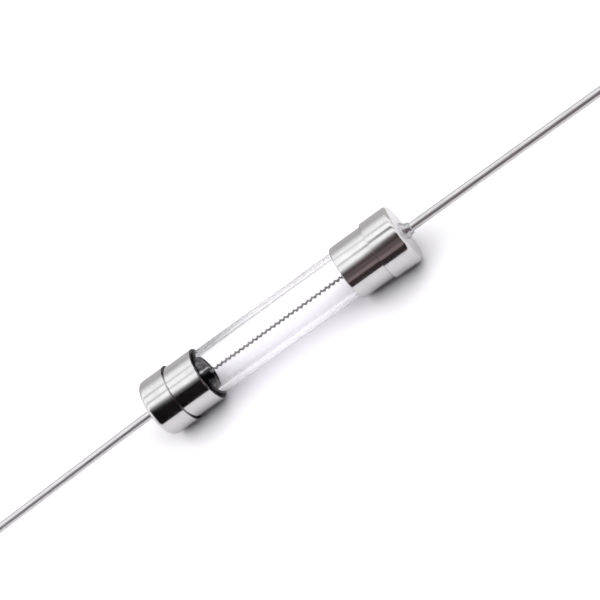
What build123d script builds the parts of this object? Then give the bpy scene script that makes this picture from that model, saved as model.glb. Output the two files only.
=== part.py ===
"""Glass cartridge fuse with axial leads.

A clear glass tube is closed by two drawn end caps. A fine wire, wound as a helix on an insulating core,
runs between the solder slugs that fill the caps. A larger lead cap is pressed over each end cap, and a
solid round lead, headed inside its cap, leaves it along the axis. Nothing moves.

Sizes are in millimetres. X runs along the tube, +Z is up, and the origin is midway between the closed
faces of the end caps and midway between the lead tips. Side -1 is the left end and +1 the right end.
"""

import math
import os

from build123d import *

# Glass tube
tube_diameter = 5.60
tube_wall = 0.70
tube_standoff = 0.70  # solder bed between the end of the tube and the floor of its cap
tube_break = 0.20  # broken edges of the cut ends

# End caps, the drawn cups that close the tube
fuse_length = 31.75  # over the closed faces of both end caps
end_cap_length = 6.45
end_cap_wall = 0.37
end_cap_corner = 0.60
glass_gap = 0.065  # radial

# Lead caps, pressed over the end caps
lead_cap_length = 3.40
lead_cap_wall = 0.23
lead_cap_corner = 0.50
corner_fullness = 0.5523  # at this value the drawn corner is a quarter circle
press_gap = 0.008  # radial
left_seat = 0.42  # from an end cap's closed face to the floor of its lead cap
right_seat = 0.865
rim_break = 0.04  # broken edge round each open rim

# Leads
overall_length = 109.5  # over both lead tips
lead_diameter = 1.00
lead_tip_break = 0.08
head_diameter = 1.90
head_thickness = 0.25
collar_diameter = 1.34  # thicker shank below the head, where a lead passes through its cap
collar_gap = 0.02  # radial, in the cap's hole
left_collar_reach = 0.22  # from the cap's face to the collar's outer end
right_collar_reach = 0.82
left_stub = 1.50  # straight run of the left lead before it droops
left_droop = 2.2  # degrees
droop_radius = 12.0

# Element
core_diameter = 0.20
winding_wire = 0.085
winding_pitch = 0.61
winding_sides = 6  # flats round the wire
winding_chords = 7  # straight chords in each turn, which keep a long fine helix to a few thousand faces
winding_gap = 0.005  # least radial room between core and winding
core_embed = 0.90  # how far the core runs into each slug, from the slug's rim
winding_short = 0.50  # how much sooner than the core the winding stops

# Solder
solder_gap = 0.005  # between solder and every face that it meets
left_slug_setback = 0.0  # from an end cap's rim to its slug's rim, along the bore
right_slug_setback = 0.60
slug_crown_height = 0.32  # a slug bulges towards the middle, because it doesn't wet the glass
slug_crown_radius = 1.20

# Solder where the leads leave their caps
left_ring_width = 0.36  # from the lead's surface to the ring's edge on the cap
left_ring_height = 0.38
right_ring_width = 0.45
right_ring_height = 0.92
ring_shoulder = 0.06  # thickness of a ring at the outer end of the collar
ring_land = 0.04  # thickness of a ring at its outer end
lump_radius = 0.72
lump_angle = 65.0  # degrees about the lead, from +Y towards +Z
lump_offset = 0.35  # from the lead's axis to the lump's centre
lump_rise = 0.20  # from the cap's face to the lump's centre

# Derived sizes
tube_radius = tube_diameter / 2
bore_radius = tube_radius - tube_wall
end_cap_face = fuse_length / 2
end_cap_floor = end_cap_face - end_cap_wall
end_cap_rim = end_cap_face - end_cap_length
end_cap_bore = tube_radius + glass_gap
end_cap_radius = end_cap_bore + end_cap_wall
tube_end = end_cap_floor - tube_standoff
lead_cap_bore = end_cap_radius + press_gap
lead_radius = lead_diameter / 2
collar_radius = collar_diameter / 2
core_radius = core_diameter / 2
wire_reach = winding_wire / 2 / math.cos(math.pi / winding_sides)
chord_sag = math.cos(math.pi / winding_chords)
winding_mean = (core_radius + winding_gap + wire_reach) / chord_sag
element_hole = winding_mean + wire_reach / chord_sag + solder_gap

Station = dict[int, float]
SLUG_RIM: Station = {-1: end_cap_rim + left_slug_setback, 1: end_cap_rim + right_slug_setback}
SEAT: Station = {-1: left_seat, 1: right_seat}
COLLAR_REACH: Station = {-1: left_collar_reach, 1: right_collar_reach}


def half_section(side):
    """Plane of a side's turned profiles: x is the distance outward along the tube, y the radius."""
    return Plane(origin=(0, 0, 0), x_dir=(side, 0, 0), z_dir=(0, 0, side))


def lead_cap_floor(side):
    """Distance of the inner face of a lead cap's floor from the origin."""
    return end_cap_face + SEAT[side]


def lead_cap_face(side):
    """Distance of a lead cap's closed outer face from the origin."""
    return lead_cap_floor(side) + lead_cap_wall


def collar_end(side):
    """Distance of the outer end of a lead's collar from the origin."""
    return lead_cap_face(side) + COLLAR_REACH[side]


def core_end(side):
    """Distance of the core's end from the origin."""
    return SLUG_RIM[side] + core_embed


def corner_of(profile, outward, radius):
    """The corner of a turned profile that lies nearest to a distance outward and a radius."""
    return profile.vertices().sort_by_distance((outward, radius, 0))[0]


def drawn_cup(side, rim, face, bore, wall, corner, hole=0.0, curved=False):
    """A cup drawn from sheet, open towards the tube. The outer corner of its closed end is curved or
    straight, and the closed end may have a hole."""
    floor = face - wall
    outer = bore + wall
    with BuildPart() as cup:
        with BuildSketch(half_section(side)) as profile:
            with BuildLine():
                start, end = (face - corner, outer), (face, outer - corner)
                pull = corner * corner_fullness
                steer = (face - corner + pull, outer), (face, outer - corner + pull)
                turn = Bezier(start, *steer, end) if curved else Line(start, end)
                Polyline(
                    turn @ 1,
                    (face, hole),
                    (floor, hole),
                    (floor, bore),
                    (rim, bore),
                    (rim, outer),
                    turn @ 0,
                )
            make_face()
            chamfer(corner_of(profile, floor, bore), corner - wall)
            chamfer(corner_of(profile, rim, outer), rim_break)
        revolve(axis=Axis.X)
    return cup


def end_cap(side):
    """Plain drawn cap over one end of the tube."""
    return drawn_cup(side, end_cap_rim, end_cap_face, end_cap_bore, end_cap_wall, end_cap_corner)


def lead_cap(side):
    """Larger drawn cap over an end cap, with the hole that its lead passes through."""
    face = lead_cap_face(side)
    rim = face - lead_cap_length
    hole = collar_radius + collar_gap
    return drawn_cup(side, rim, face, lead_cap_bore, lead_cap_wall, lead_cap_corner, hole, curved=True)


def cap_solder(side):
    """Solder cast in an end cap: a bed under the tube and a crowned plug in its bore."""
    bed_radius = end_cap_bore - solder_gap
    plug_radius = bore_radius - solder_gap
    floor = end_cap_floor - solder_gap
    bed = tube_end + solder_gap
    rim = SLUG_RIM[side]
    crown = rim - slug_crown_height
    hole_end = core_end(side) + solder_gap
    with BuildPart() as slug:
        with BuildSketch(half_section(side)) as profile:
            with BuildLine():
                Polyline(
                    (crown, element_hole),
                    (crown, slug_crown_radius),
                    (rim, plug_radius),
                    (bed, plug_radius),
                    (bed, bed_radius),
                    (floor, bed_radius),
                    (floor, 0),
                    (hole_end, 0),
                    (hole_end, element_hole),
                    close=True,
                )
            make_face()
            chamfer(corner_of(profile, floor, bed_radius), end_cap_corner - end_cap_wall)
        revolve(axis=Axis.X)
    return slug


def joint_solder(side):
    """Disc of solder between an end cap and its lead cap, round the head of the lead."""
    near = end_cap_face + solder_gap
    far = lead_cap_floor(side) - solder_gap
    edge = lead_cap_bore - solder_gap
    recess = head_diameter / 2 + solder_gap
    recess_floor = lead_cap_floor(side) - head_thickness - 2 * solder_gap
    with BuildPart() as disc:
        with BuildSketch(half_section(side)) as profile:
            with BuildLine():
                Polyline(
                    (near, 0),
                    (near, edge),
                    (far, edge),
                    (far, recess),
                    (recess_floor, recess),
                    (recess_floor, 0),
                    close=True,
                )
            make_face()
            chamfer(corner_of(profile, far, edge), lead_cap_corner - lead_cap_wall)
        revolve(axis=Axis.X)
    return disc


def lead_wire(side, stub, droop):
    """Solid lead with an upset head inside its cap, straight or with one gentle bend past a stub."""
    head = lead_cap_floor(side) - solder_gap - head_thickness
    bend_start = lead_cap_face(side) + stub
    tip = overall_length / 2
    turn = math.radians(droop)
    upright = Plane(origin=(0, 0, 0), x_dir=(side, 0, 0), z_dir=(0, -side, 0))
    across = Plane(origin=(side * head, 0, 0), z_dir=(side, 0, 0))
    with BuildPart() as wire:
        with BuildLine(upright) as route:
            if droop:
                run_in = Line((head, 0), (bend_start, 0))
                bend = JernArc(run_in @ 1, run_in % 1, droop_radius, -droop)
                bent = bend_start + droop_radius * math.sin(turn)
                run = (tip - lead_radius * math.sin(turn) - bent) / math.cos(turn)
                PolarLine(bend @ 1, run, angle=-droop)
            else:
                Line((head, 0), (tip, 0))
        with BuildSketch(across):
            Circle(lead_radius)
        sweep(path=route.wires()[0])
        with BuildSketch(across):
            Circle(collar_radius)
        extrude(amount=collar_end(side) - head)
        with BuildSketch(across):
            Circle(head_diameter / 2)
        extrude(amount=head_thickness)
        tip_edge = wire.edges().filter_by(GeomType.CIRCLE).sort_by(Axis.X)[-1 if side > 0 else 0]
        chamfer(tip_edge, lead_tip_break)
    return wire


def solder_ring(side, width, height):
    """Ring of solder in the corner between a lead and its cap, stepped inside over the lead's collar."""
    base = lead_cap_face(side)
    step = collar_end(side) + solder_gap
    collar_bore = collar_radius + solder_gap
    lead_bore = lead_radius + solder_gap
    with BuildPart() as ring:
        with BuildSketch(half_section(side)):
            with BuildLine():
                Polyline(
                    (base, collar_bore),
                    (base, lead_radius + width),
                    (step, collar_bore + ring_shoulder),
                    (base + height, lead_bore + ring_land),
                    (base + height, lead_bore),
                    (step, lead_bore),
                    (step, collar_bore),
                    close=True,
                )
            make_face()
        revolve(axis=Axis.X)
    return ring


def solder_bead(side, width, height):
    """Uneven bead of solder: a ring with a lump on one side of it, cut flush with the cap."""
    base = lead_cap_face(side)
    step = collar_end(side) + solder_gap
    turn = math.radians(lump_angle)
    centre = (side * (base + lump_rise), lump_offset * math.cos(turn), lump_offset * math.sin(turn))
    reach = lump_radius + lump_offset
    cap_plane = Plane(origin=(side * base, 0, 0), z_dir=(side, 0, 0))
    with BuildPart() as bead:
        with Locations(centre):
            Sphere(lump_radius)
        with BuildSketch(cap_plane):
            Circle(reach)
        extrude(amount=-reach, mode=Mode.SUBTRACT)
        with BuildSketch(cap_plane):
            Circle(collar_radius + solder_gap)
        extrude(amount=step - base, mode=Mode.SUBTRACT)
        with BuildSketch(cap_plane):
            Circle(lead_radius + solder_gap)
        extrude(amount=2 * reach, mode=Mode.SUBTRACT)
        add(solder_ring(side, width, height).part)
    return bead


def glass_tube():
    """Drawn tube with the edges of its cut ends broken."""
    with BuildPart() as tube:
        with BuildSketch(half_section(1)) as wall:
            with Locations((0, bore_radius + tube_wall / 2)):
                Rectangle(2 * tube_end, tube_wall)
            chamfer(wall.vertices(), tube_break)
        revolve(axis=Axis.X)
    return tube


def element_core():
    """Straight insulating core from slug to slug."""
    with BuildPart() as core:
        with BuildSketch(Plane.YZ.offset(-core_end(-1))):
            Circle(core_radius)
        extrude(amount=core_end(-1) + core_end(1))
    return core


def element_winding():
    """Fine right-handed helix of fuse wire on the core, followed by short straight chords."""
    start = winding_short - core_end(-1)
    height = core_end(1) - winding_short - start
    chords = round(winding_chords * height / winding_pitch)
    turns = Helix(winding_pitch, height, winding_mean, center=(start, 0, 0), direction=(1, 0, 0))
    first = turns @ 0
    with BuildPart() as winding:
        with BuildLine() as path:
            Polyline(*(turns @ (number / chords) for number in range(chords + 1)))
        route = path.wires()[0]
        with BuildSketch(Plane(origin=first, x_dir=(0, first.Y, first.Z), z_dir=route % 0)):
            RegularPolygon(winding_wire / 2, winding_sides, major_radius=False, rotation=180 / winding_sides)
        sweep(path=route, transition=Transition.RIGHT)
    return winding


def save(piece, name):
    """Label a sub-part and write its STEP file."""
    piece.part.label = name
    export_step(piece.part, f"parts/{name}.step")


os.makedirs("parts", exist_ok=True)
save(glass_tube(), "glass_tube")
save(element_core(), "element_core")
save(element_winding(), "element_winding")
for side, end in ((-1, "left"), (1, "right")):
    save(end_cap(side), f"{end}_end_cap")
    save(cap_solder(side), f"{end}_cap_solder")
    save(joint_solder(side), f"{end}_joint_solder")
    save(lead_cap(side), f"{end}_lead_cap")
save(lead_wire(-1, left_stub, left_droop), "left_lead_wire")
save(lead_wire(1, 0.0, 0.0), "right_lead_wire")
save(solder_ring(-1, left_ring_width, left_ring_height), "left_lead_solder")
save(solder_bead(1, right_ring_width, right_ring_height), "right_lead_solder")
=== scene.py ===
"""Studio scene of a glass cartridge fuse with axial leads.

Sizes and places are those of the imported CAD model, whose nodes have flat facets. Smooth turned forms stand
in for them, with soft corners, a lumpy bead and a slightly thicker winding, so that plated metal and clear
glass reflect cleanly. Each finish is a node material of its own. Forms are drawn in millimetres, with X
along the tube and +Z up, and reach the scene in metres.
"""

import logging
import math
from abc import ABC, abstractmethod
from dataclasses import dataclass
from enum import Enum

import bmesh
import bpy
from mathutils import Matrix, Vector


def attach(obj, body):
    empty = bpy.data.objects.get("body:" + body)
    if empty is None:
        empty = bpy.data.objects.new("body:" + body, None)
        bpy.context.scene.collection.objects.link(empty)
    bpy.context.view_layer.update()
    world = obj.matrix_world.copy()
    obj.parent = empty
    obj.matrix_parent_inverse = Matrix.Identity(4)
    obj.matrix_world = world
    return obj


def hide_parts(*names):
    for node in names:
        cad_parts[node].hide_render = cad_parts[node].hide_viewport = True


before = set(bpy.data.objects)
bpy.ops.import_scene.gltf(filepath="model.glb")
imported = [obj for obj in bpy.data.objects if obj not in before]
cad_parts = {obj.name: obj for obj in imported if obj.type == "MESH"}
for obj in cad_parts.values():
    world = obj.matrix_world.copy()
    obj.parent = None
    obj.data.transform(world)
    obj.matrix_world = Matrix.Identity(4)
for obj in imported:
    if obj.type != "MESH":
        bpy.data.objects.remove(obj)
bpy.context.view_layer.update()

logging.basicConfig(level=logging.INFO, format="%(name)s: %(message)s")
LOG = logging.getLogger("fuse")

Colour = tuple[float, float, float]
Triple = tuple[float, float, float]
Span = tuple[float, float]
Socket = bpy.types.NodeSocket

# The body that every piece rides on, and a millimetre in metres. Every length below is in millimetres.
ROOT: str = "root"
MM: float = 0.001

# Distances of the lead caps' closed faces and of the leads' collar ends from the middle of the tube.
LEFT_FACE, RIGHT_FACE = 16.525, 16.97
LEFT_COLLAR, RIGHT_COLLAR = 16.745, 17.79

# Points closer than this are one point.
WELD: float = 1e-4

# Segments on a corner rounded by a millimetre, beyond the first.
ROUNDING_SEGMENTS: int = 6

# Sockets of a Mix node that carry its colours.
MIX_FIRST, MIX_SECOND, MIX_RESULT = 6, 7, 2

# Stretches of object coordinates: none, across the tube alone, and on the floor's level alone.
EVEN: Triple = (1.0, 1.0, 1.0)
ACROSS: Triple = (0.0, 1.0, 1.0)
LEVEL: Triple = (1.0, 1.0, 0.0)

# The range that a noise mostly keeps to, the depth of marks, and what scratches add to roughness.
NOISE_SPAN: Span = (0.3, 0.7)
MARK_DEPTH: float = 0.02
SCRATCH_ROUGHNESS: float = 0.15

# Painted shade on the element where it enters the caps, dark as in the caps' shadow: places along the tube,
# fade and colour.
SHADED_ENDS: Span = (-8.75, 9.35)
END_SHADE_FADE: float = 0.3
END_SHADE: Colour = (0.02, 0.018, 0.02)

# Places along X where the studio's columns of cards meet: the left lead's, the left lead cap's, the left end
# cap's, the right end cap's and the one for the right lead cap and lead.
LEAD_SEAM, LEFT_SEAM, MIDDLE_SEAM, RIGHT_SEAM = -135.0, -101.9, -70.0, -29.9

# Casts of the studio's cards, which a card's strength makes bright or dark.
WHITE: Colour = (1.0, 1.0, 1.0)
WARM_WHITE: Colour = (1.0, 0.99, 0.99)
GREENISH: Colour = (0.97, 1.0, 0.97)
BROWN: Colour = (1.0, 0.78, 0.79)
DEEP_BROWN: Colour = (1.0, 0.70, 0.74)
PURPLISH: Colour = (1.0, 0.9, 1.0)
DUSK: Colour = (1.0, 0.94, 1.0)


class End(Enum):
    """An end of the fuse, by the sign of its X."""

    LEFT = -1
    RIGHT = 1

    @property
    def word(self) -> str:
        """Word that names this end's pieces."""
        return self.name.lower()


# ---------------------------------------------------------------------------------------------- materials


class Sheet:
    """Short-hand for one material's node tree."""

    def __init__(self, name: str, tree: bpy.types.NodeTree | None = None) -> None:
        """Open a tree.

        Args:
            name: Name of the new material, unless a tree is given.
            tree: Tree of a node group or a world to write in instead.
        """
        self.material: bpy.types.Material | None = None
        if tree is None:
            self.material = bpy.data.materials.new(name)
            self.material.use_nodes = True
            tree = self.material.node_tree
            tree.nodes.clear()
        self.tree = tree

    def add(self, kind: str, **values: object) -> bpy.types.Node:
        """Add a node.

        Args:
            kind: Node type, without its ShaderNode prefix.
            values: Node properties by name, or input values by name with _ for spaces.

        Returns:
            The new node.
        """
        node = self.tree.nodes.new(kind if kind.startswith("Node") else "ShaderNode" + kind)
        for name, value in values.items():
            if hasattr(node, name):
                setattr(node, name, value)
            else:
                node.inputs[name.replace("_", " ")].default_value = value
        return node

    def join(self, source: Socket, target: Socket) -> None:
        """Link two sockets."""
        self.tree.links.new(source, target)

    def math(self, operation: str, first: Socket, second: Socket | float = 0.0) -> Socket:
        """Work out a number from a socket and a socket or a constant.

        Args:
            operation: Math node operation.
            first: First value.
            second: Second value.

        Returns:
            The result's socket.
        """
        node = self.add("Math", operation=operation)
        self.join(first, node.inputs[0])
        if isinstance(second, Socket):
            self.join(second, node.inputs[1])
        else:
            node.inputs[1].default_value = second
        return node.outputs[0]

    def spread(self, source: Socket, span: Span, to_low: float = 0.0, to_high: float = 1.0) -> Socket:
        """Map a number from one range to another, clamped.

        Args:
            source: Value to map.
            span: Values that give to_low and to_high.
            to_low: Result at the first.
            to_high: Result at the second.

        Returns:
            The result's socket.
        """
        node = self.add("MapRange")
        for index, value in enumerate((*span, to_low, to_high), start=1):
            node.inputs[index].default_value = value
        self.join(source, node.inputs[0])
        return node.outputs[0]

    def ramp(self, source: Socket, stops: tuple[Span, ...]) -> Socket:
        """Read a number off a line drawn through stops.

        Args:
            source: Value to read at, from 0 to 1.
            stops: Each stop's value and the result there, in rising order.

        Returns:
            The result's socket.
        """
        node = self.add("ValToRGB")
        elements = node.color_ramp.elements
        while len(elements) < len(stops):
            elements.new(1.0)
        for element, (value, result) in zip(elements, stops):
            element.position = value
            element.color = (result, result, result, 1.0)
        self.join(source, node.inputs[0])
        return node.outputs[0]

    def tint(self, mask: Socket, first: Colour, second: Colour) -> Socket:
        """Mix two colours by a mask.

        Args:
            mask: Share of the second colour.
            first: Colour where the mask is 0.
            second: Colour where the mask is 1.

        Returns:
            The colour's socket.
        """
        node = self.add("Mix", data_type="RGBA")
        node.inputs[MIX_FIRST].default_value = (*first, 1.0)
        node.inputs[MIX_SECOND].default_value = (*second, 1.0)
        self.join(mask, node.inputs[0])
        return node.outputs[MIX_RESULT]

    def cover(self, under: Socket, mask: Socket, over: Socket | Colour) -> Socket:
        """Lay a colour over another by a mask.

        Args:
            under: Colour where the mask is 0.
            mask: Share of the covering colour.
            over: Covering colour, or its socket.

        Returns:
            The colour's socket.
        """
        node = self.add("Mix", data_type="RGBA")
        if isinstance(over, Socket):
            self.join(over, node.inputs[MIX_SECOND])
        else:
            node.inputs[MIX_SECOND].default_value = (*over, 1.0)
        self.join(under, node.inputs[MIX_FIRST])
        self.join(mask, node.inputs[0])
        return node.outputs[MIX_RESULT]

    def blend(self, mask: Socket, first: Socket, second: Socket) -> Socket:
        """Mix two shaders by a mask.

        Args:
            mask: Share of the second shader.
            first: Shader where the mask is 0.
            second: Shader where the mask is 1.

        Returns:
            The shader's socket.
        """
        node = self.add("MixShader")
        for source, target in zip((mask, first, second), node.inputs):
            self.join(source, target)
        return node.outputs[0]

    def relief(self, shader: bpy.types.Node, height: Socket, strength: float, depth: float) -> None:
        """Raise a shader's surface by a bump.

        Args:
            shader: Shader to raise.
            height: Height of the bump, as a share of its depth.
            strength: Strength of the bump.
            depth: Depth of the bump in millimetres.
        """
        bump = self.add("Bump", Strength=strength, Distance=depth * MM)
        self.join(height, bump.inputs["Height"])
        self.join(bump.outputs["Normal"], shader.inputs["Normal"])

    def place(self, scale: Triple = EVEN) -> Socket:
        """Object coordinates in millimetres.

        Args:
            scale: Stretch of the coordinates for each axis.

        Returns:
            The coordinates' socket.
        """
        where = self.add("TexCoord")
        mapping = self.add("Mapping")
        mapping.inputs["Scale"].default_value = tuple(value / MM for value in scale)
        self.join(where.outputs["Object"], mapping.inputs["Vector"])
        return mapping.outputs[0]

    def axes(self, source: Socket | None = None) -> bpy.types.Node:
        """Take a place apart by its axes, or the object coordinates in millimetres where none is given.

        Args:
            source: Place to take apart.

        Returns:
            A node with X, Y and Z outputs.
        """
        node = self.add("SeparateXYZ")
        self.join(self.place() if source is None else source, node.inputs[0])
        return node

    def length(self, scale: Triple) -> Socket:
        """Distance from the object's origin in millimetres.

        Args:
            scale: Stretch of the coordinates for each axis, 0 for one that doesn't count.

        Returns:
            The distance's socket.
        """
        node = self.add("VectorMath", operation="LENGTH")
        self.join(self.place(scale), node.inputs[0])
        return node.outputs["Value"]

    def angle(self) -> Socket:
        """Place round the tube's axis in radians, from level in front to overhead."""
        axes = self.axes()
        return self.math("ARCTAN2", axes.outputs["Z"], self.math("MULTIPLY", axes.outputs["Y"], -1.0))

    def noise(self, scale: Triple = EVEN, **values: object) -> bpy.types.Node:
        """Add a noise that lies still on the piece.

        Args:
            scale: Stretch of its coordinates for each axis.
            values: Its input values.

        Returns:
            The noise node.
        """
        node = self.add("TexNoise", **values)
        self.join(self.place(scale), node.inputs["Vector"])
        return node

    def ends(self, left: float, right: float) -> Socket:
        """Mask that rises from 0 to 1 over a short way beyond each of two places along the tube.

        Args:
            left: Place where the left end starts, in millimetres.
            right: Place where the right end starts, in millimetres.

        Returns:
            The mask's socket.
        """
        along = self.axes().outputs["X"]
        at_left = self.spread(along, (left - END_SHADE_FADE, left), 1.0, 0.0)
        at_right = self.spread(along, (right, right + END_SHADE_FADE))
        return self.math("MAXIMUM", at_left, at_right)

    def seen(self, *kinds: str) -> Socket:
        """Mask of the rays of any of the given kinds.

        Args:
            kinds: Names of Light Path outputs.

        Returns:
            The mask's socket.
        """
        path = self.add("LightPath")
        mask = path.outputs[kinds[0]]
        for kind in kinds[1:]:
            mask = self.math("MAXIMUM", mask, path.outputs[kind])
        return mask

    def first_hand(self) -> Socket:
        """Mask that is 0 for what metal would pass on to the floor, which keeps the contact shadows deep.

        Returns:
            The mask's socket.
        """
        path = self.add("LightPath")
        after_floor = self.math("GREATER_THAN", path.outputs["Diffuse Depth"], 0.5)
        mirrored = self.math("MULTIPLY", path.outputs["Is Glossy Ray"], path.outputs["Is Reflection Ray"])
        return self.math("LESS_THAN", self.math("MULTIPLY", after_floor, mirrored), 0.5)

    def finish(self, shader: Socket) -> bpy.types.Material:
        """Send a shader to the material's output and return the material."""
        self.join(shader, self.add("OutputMaterial").inputs["Surface"])
        return self.material


@dataclass(frozen=True)
class Effect(ABC):
    """A node group that several materials share, with its inputs' default values and its outputs."""

    name: str
    sockets: tuple[tuple[str, float], ...]
    results: tuple[str, ...]

    def tree(self) -> bpy.types.NodeTree:
        """Build the group once.

        Returns:
            The group's tree.
        """
        found = bpy.data.node_groups.get(self.name)
        if found:
            return found
        tree = bpy.data.node_groups.new(self.name, "ShaderNodeTree")
        for name, value in self.sockets:
            socket = tree.interface.new_socket(name, in_out="INPUT", socket_type="NodeSocketFloat")
            socket.default_value = value
        for name in self.results:
            tree.interface.new_socket(name, in_out="OUTPUT", socket_type="NodeSocketFloat")
        sheet = Sheet(self.name, tree)
        start, end = sheet.add("NodeGroupInput"), sheet.add("NodeGroupOutput")
        for result, name in zip(self.wire(sheet, start.outputs), self.results):
            sheet.join(result, end.inputs[name])
        return tree

    @abstractmethod
    def wire(self, sheet: Sheet, given: bpy.types.NodeOutputs) -> tuple[Socket, ...]:
        """Write the group's nodes.

        Args:
            sheet: Tree of the group.
            given: Sockets of the group's inputs.

        Returns:
            A socket for each of the group's outputs.
        """


@dataclass(frozen=True)
class HandlingMarks(Effect):
    """Shared effect: fine draw lines round the axis, sparse scratches and dull patches on metal."""

    name: str = "handling_marks"
    sockets: tuple[tuple[str, float], ...] = (
        ("Draw Lines", 30.0),
        ("Patch Scale", 0.6),
        ("Scratch Scale", 2.2),
        ("Scratch Share", 0.5),
    )
    results: tuple[str, ...] = ("Height", "Dullness", "Scratches")
    line_stretch: Triple = (1.0, 0.02, 0.02)
    line_height: float = 0.5
    scratch_stretch: Triple = (1.0, 0.35, 0.6)
    scratch_width: float = 0.012
    scratch_breaks: Span = (0.52, 0.60)
    dull_patches: Span = (0.35, 0.7)

    def wire(self, sheet: Sheet, given: bpy.types.NodeOutputs) -> tuple[Socket, ...]:
        """Write the group's nodes.

        Args:
            sheet: Tree of the group.
            given: Sockets of the group's inputs.

        Returns:
            The height, dullness and scratches.
        """
        lines = sheet.noise(self.line_stretch, Detail=3.0, Roughness=0.6)
        sheet.join(given["Draw Lines"], lines.inputs["Scale"])
        patches = sheet.noise(Detail=4.0, Roughness=0.55)
        sheet.join(given["Patch Scale"], patches.inputs["Scale"])
        cells = sheet.add("TexVoronoi", feature="DISTANCE_TO_EDGE", Randomness=1.0)
        sheet.join(sheet.place(self.scratch_stretch), cells.inputs["Vector"])
        sheet.join(given["Scratch Scale"], cells.inputs["Scale"])
        thin = sheet.spread(cells.outputs["Distance"], (0.0, self.scratch_width), 1.0, 0.0)
        breaks = sheet.noise(Detail=2.0, Scale=1.7)
        some = sheet.spread(breaks.outputs["Fac"], self.scratch_breaks)
        scratches = sheet.math("MULTIPLY", sheet.math("MULTIPLY", thin, some), given["Scratch Share"])
        ridges = sheet.math("MULTIPLY", lines.outputs["Fac"], self.line_height)
        dullness = sheet.spread(patches.outputs["Fac"], self.dull_patches)
        return sheet.math("SUBTRACT", ridges, scratches), dullness, scratches


@dataclass(frozen=True)
class EdgeMarks(Effect):
    """Shared effect: masks of the cut edge of a drawn cap, its dulled closed face and wear round its corner.
    """

    name: str = "edge_marks"
    sockets: tuple[tuple[str, float], ...] = (("Rim", 0.0), ("Face", 0.0), ("Radius", 0.0))
    results: tuple[str, ...] = ("Cut Edge", "Closed Face", "Corner Wear")
    cut_depth: Span = (0.025, 0.05)
    ragged: Span = (-0.012, 0.030)
    face_fade: Span = (0.01, 0.12)
    corner_depth: Span = (0.12, 0.55)
    corner_reach: Span = (0.10, 0.45)
    rubbed_spots: Span = (0.45, 0.62)

    def wire(self, sheet: Sheet, given: bpy.types.NodeOutputs) -> tuple[Socket, ...]:
        """Write the group's nodes.

        Args:
            sheet: Tree of the group.
            given: Sockets of the group's inputs: the places of the rim and the closed face, and the radius.

        Returns:
            The masks of the cut edge, the closed face and the corner's wear.
        """
        along = sheet.math("ABSOLUTE", sheet.axes().outputs["X"])
        edge_noise = sheet.noise(Scale=3.5, Detail=4.0).outputs["Fac"]
        inward = sheet.math("SUBTRACT", along, given["Rim"])
        shifted = sheet.math("SUBTRACT", inward, sheet.spread(edge_noise, NOISE_SPAN, *self.ragged))
        cut = sheet.spread(shifted, self.cut_depth, 1.0, 0.0)
        short = sheet.math("SUBTRACT", given["Face"], along)
        near_face = sheet.spread(short, self.corner_depth, 1.0, 0.0)
        inside = sheet.math("SUBTRACT", given["Radius"], sheet.length(ACROSS))
        corner = sheet.math("MULTIPLY", near_face, sheet.spread(inside, self.corner_reach, 1.0, 0.0))
        wear = sheet.math("MULTIPLY", corner, sheet.spread(edge_noise, self.rubbed_spots))
        return cut, sheet.spread(short, self.face_fade, 1.0, 0.0), wear


@dataclass(frozen=True)
class Finish(ABC):
    """A finish, whose material is built once under the finish's name."""

    name: str

    def material(self) -> bpy.types.Material:
        """Build the finish once.

        Returns:
            The finish's material.
        """
        found = bpy.data.materials.get(self.name)
        if found:
            return found
        sheet = Sheet(self.name)
        return sheet.finish(self.shader(sheet))

    @abstractmethod
    def shader(self, sheet: Sheet) -> Socket:
        """Write the finish's nodes.

        Args:
            sheet: Tree of the finish's material.

        Returns:
            The shader's socket.
        """


@dataclass(frozen=True)
class BareMetal(Finish):
    """Finish of a plain metal, with its sheen broken by fine marks."""

    clean: Colour
    dull: Colour
    roughness: float
    dull_roughness: float
    relief: float
    draw_lines: float = 30.0
    patch_scale: float = 0.6
    # Ends that take painted shade, where the metal enters the caps.
    sooty_ends: Span | None = None

    def shader(self, sheet: Sheet) -> Socket:
        """Write the finish's nodes.

        Args:
            sheet: Tree of the finish's material.

        Returns:
            The shader's socket.
        """
        marks = sheet.add("Group", node_tree=HandlingMarks().tree())
        marks.inputs["Draw Lines"].default_value = self.draw_lines
        marks.inputs["Patch Scale"].default_value = self.patch_scale
        metal = sheet.add("BsdfPrincipled", Metallic=1.0)
        colour = sheet.tint(marks.outputs["Dullness"], self.clean, self.dull)
        # Painted shade where the element enters the caps.
        if self.sooty_ends:
            colour = sheet.cover(colour, sheet.ends(*self.sooty_ends), END_SHADE)
        sheet.join(colour, metal.inputs["Base Color"])
        rough = marked_roughness(sheet, marks, self.roughness, self.dull_roughness)
        sheet.join(rough, metal.inputs["Roughness"])
        sheet.relief(metal, marks.outputs["Height"], self.relief, MARK_DEPTH)
        return metal.outputs[0]


def marked_roughness(sheet: Sheet, marks: bpy.types.Node, clean: float, dull: float) -> Socket:
    """Roughness of a metal with handling marks.

    Args:
        sheet: Tree of the metal's material.
        marks: Its handling marks.
        clean: Roughness of the clean metal.
        dull: Roughness of the dull patches.

    Returns:
        The roughness's socket.
    """
    rough = sheet.spread(marks.outputs["Dullness"], (0.0, 1.0), clean, dull)
    return sheet.math("ADD", rough, sheet.math("MULTIPLY", marks.outputs["Scratches"], SCRATCH_ROUGHNESS))


@dataclass(frozen=True)
class Rub:
    """A stretch of a cut edge where its painted shade is thinned, as on a side that faces the lamps, by its
    angles from level in front to overhead.
    """

    start: float
    stop: float
    tarnish_left: float


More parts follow.
